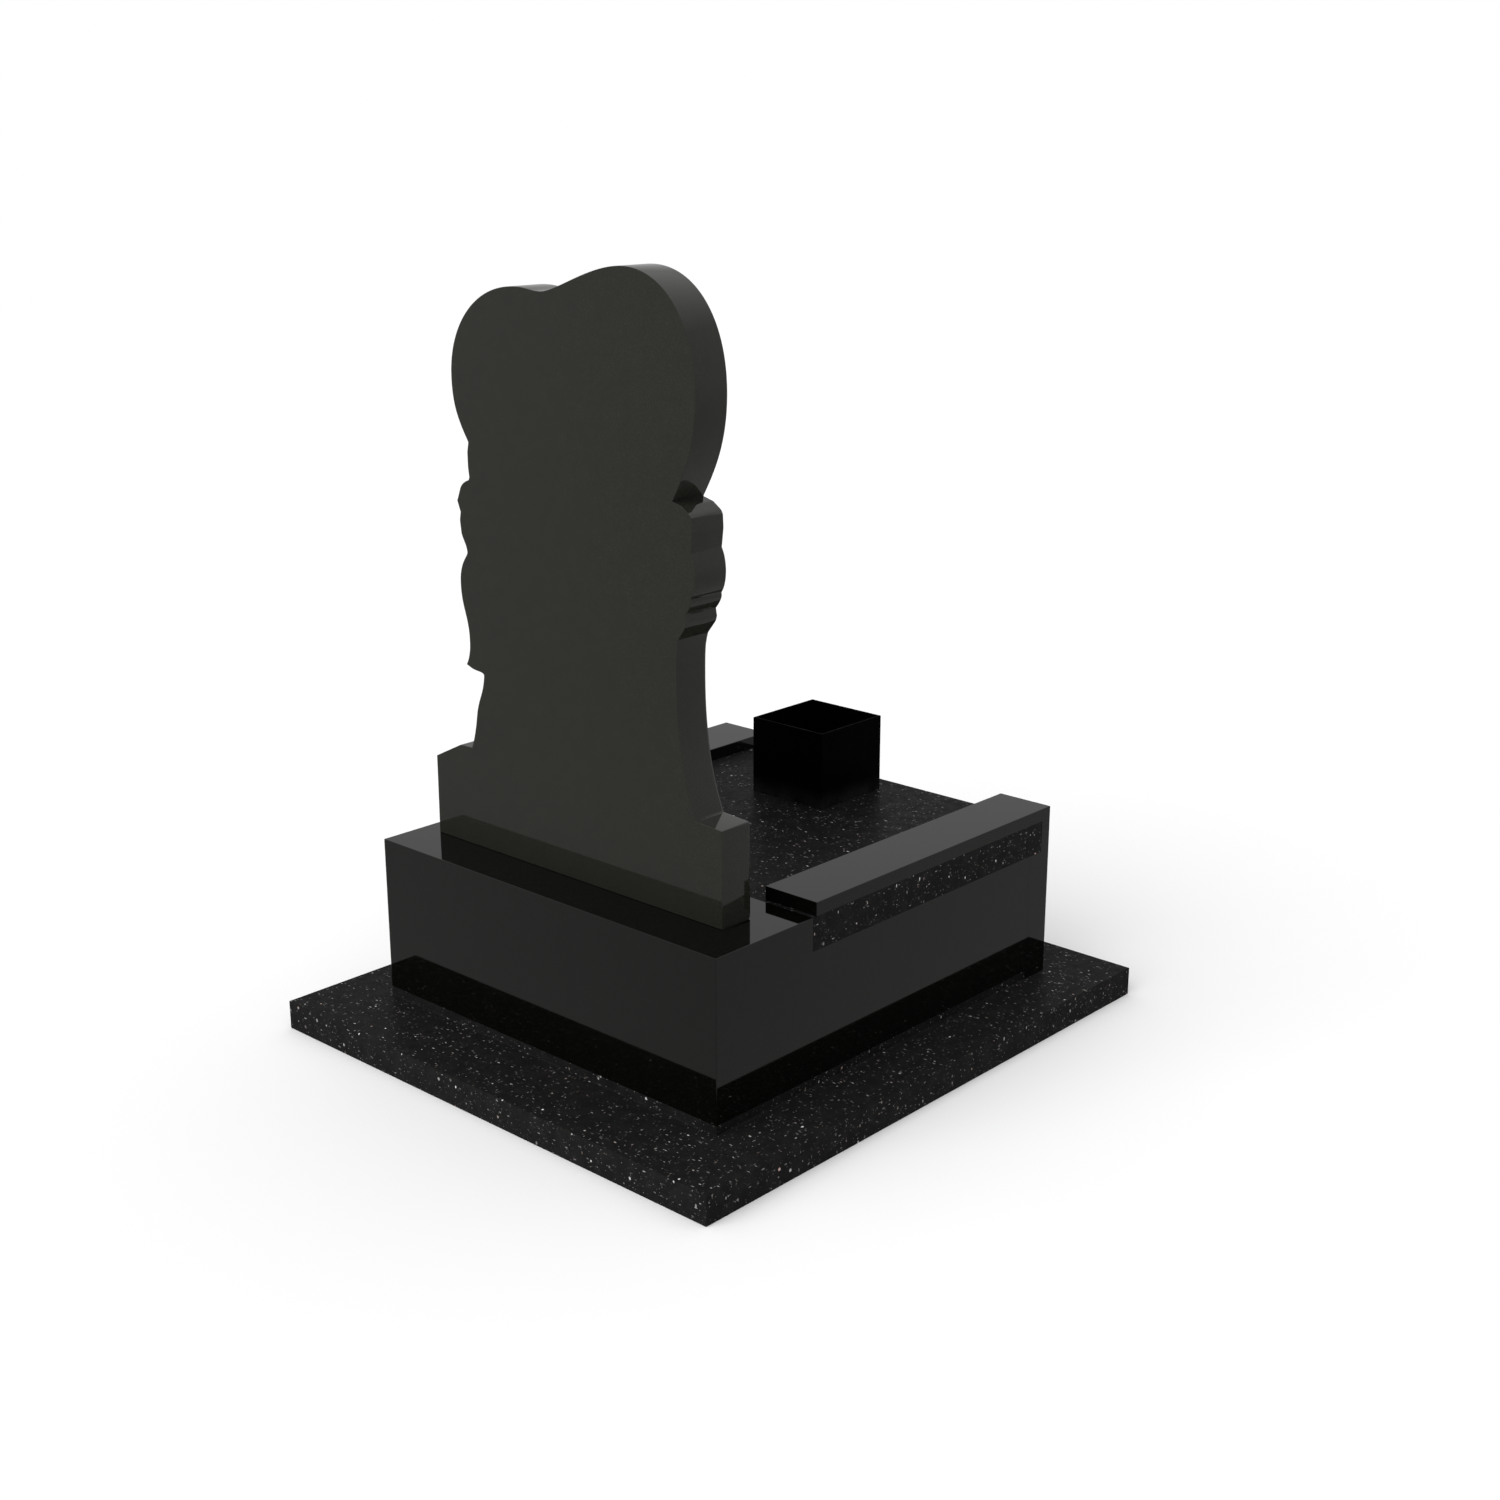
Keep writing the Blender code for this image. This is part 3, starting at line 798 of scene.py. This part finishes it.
put(build_foundation(), "foundation_slab", speckled("granite_foundation", 0.0))
put(build_plinth(), "plinth_body", polished("granite_plinth"))
put(build_panel(), "front_panel", polished("granite_panel"))
put(build_cover(), "cover_slab", speckled("granite_cover", 0.8, 1.05))
kerb_mat = polished("granite_kerb")
put(build_kerb("left"), "kerb_left", kerb_mat)
put(build_kerb("right"), "kerb_right", kerb_mat)
put(build_headstone(), "headstone",
    polished("granite_headstone", tone=0.0132, tint=(1.0, 1.0, 0.97), carved=True, cast=(0.97, 1.0, 0.78)))
put(build_flower_box(), "flower_box", coated("coating_flower_box"))

# ---------------------------------------------------------------- stage, light, camera
bm = bmesh.new()
bmesh.ops.create_circle(bm, cap_ends=True, radius=14.0, segments=96)
fme = bpy.data.meshes.new("floor")
bm.to_mesh(fme)
bm.free()
floor = bpy.data.objects.new("floor", fme)
bpy.context.scene.collection.objects.link(floor)
fm = bpy.data.materials.new("floor_white")
fm.use_nodes = True
fb = fm.node_tree.nodes["Principled BSDF"]
fb.inputs["Base Color"].default_value = (0.90, 0.90, 0.90, 1.0)
fb.inputs["Roughness"].default_value = 0.9
fb.inputs["Specular IOR Level"].default_value = 0.0
fme.materials.append(fm)
floor.visible_glossy = False      # the polish mirrors the soft surround instead

world = bpy.data.worlds.new("studio")
bpy.context.scene.world = world
world.use_nodes = True
wt = world.node_tree
bg = wt.nodes["Background"]
tc = wt.nodes.new("ShaderNodeTexCoord")
sp = wt.nodes.new("ShaderNodeSeparateXYZ")
wt.links.new(tc.outputs["Generated"], sp.inputs["Vector"])
half = wt.nodes.new("ShaderNodeMath")
half.operation = 'MULTIPLY_ADD'
wt.links.new(sp.outputs["Z"], half.inputs[0])
half.inputs[1].default_value = 0.5
half.inputs[2].default_value = 0.5
cr = wt.nodes.new("ShaderNodeValToRGB")
wt.links.new(half.outputs[0], cr.inputs["Fac"])
# from straight below, past the horizon at 0.5, to straight above
stops = ((0.0, 0.355), (0.36, 0.36), (0.415, 0.40), (0.46, 0.455), (0.50, 0.48), (0.58, 0.50), (0.72, 0.52), (0.87, 0.95), (1.0, 1.10))
ramp = cr.color_ramp.elements
for (p, v), e in zip((stops[0], stops[-1]), (ramp[0], ramp[1])):
    e.position, e.color = p, (v, v, v, 1.0)
for p, v in stops[1:-1]:
    ramp.new(p).color = (v, v, v, 1.0)
# the backdrop itself is plain white
lp = wt.nodes.new("ShaderNodeLightPath")
mx = wt.nodes.new("ShaderNodeMix")
mx.data_type = 'RGBA'
wt.links.new(lp.outputs["Is Camera Ray"], mx.inputs["Factor"])
wt.links.new(cr.outputs["Color"], mx.inputs[6])
mx.inputs[7].default_value = (1.0, 1.0, 1.0, 1.0)
wt.links.new(mx.outputs[2], bg.inputs["Color"])
bg.inputs["Strength"].default_value = 1.0

sun = bpy.data.lights.new("key", 'SUN')
sun.energy = 2.0
sun.angle = math.radians(60)
so = bpy.data.objects.new("key", sun)
so.rotation_euler = Vector((-0.08, -1.0, -0.62)).to_track_quat('-Z', 'Y').to_euler()
so.visible_glossy = False
bpy.context.scene.collection.objects.link(so)

cam = bpy.data.cameras.new("camera")
cam.lens = 48.93
cam.sensor_width = 36.0
cam.sensor_fit = 'HORIZONTAL'
co = bpy.data.objects.new("camera", cam)
yaw, pitch = 0.7397, 0.2974
forward = Vector((math.sin(yaw) * math.cos(pitch), -math.cos(yaw) * math.cos(pitch), -math.sin(pitch)))
co.location = (-2.05576, 2.17581, 1.35268)
co.rotation_mode = 'QUATERNION'
co.rotation_quaternion = forward.to_track_quat('-Z', 'Y')
bpy.context.scene.collection.objects.link(co)
bpy.context.scene.camera = co
bpy.context.scene.view_settings.view_transform = 'Standard'
bpy.context.scene.view_settings.look = 'None'
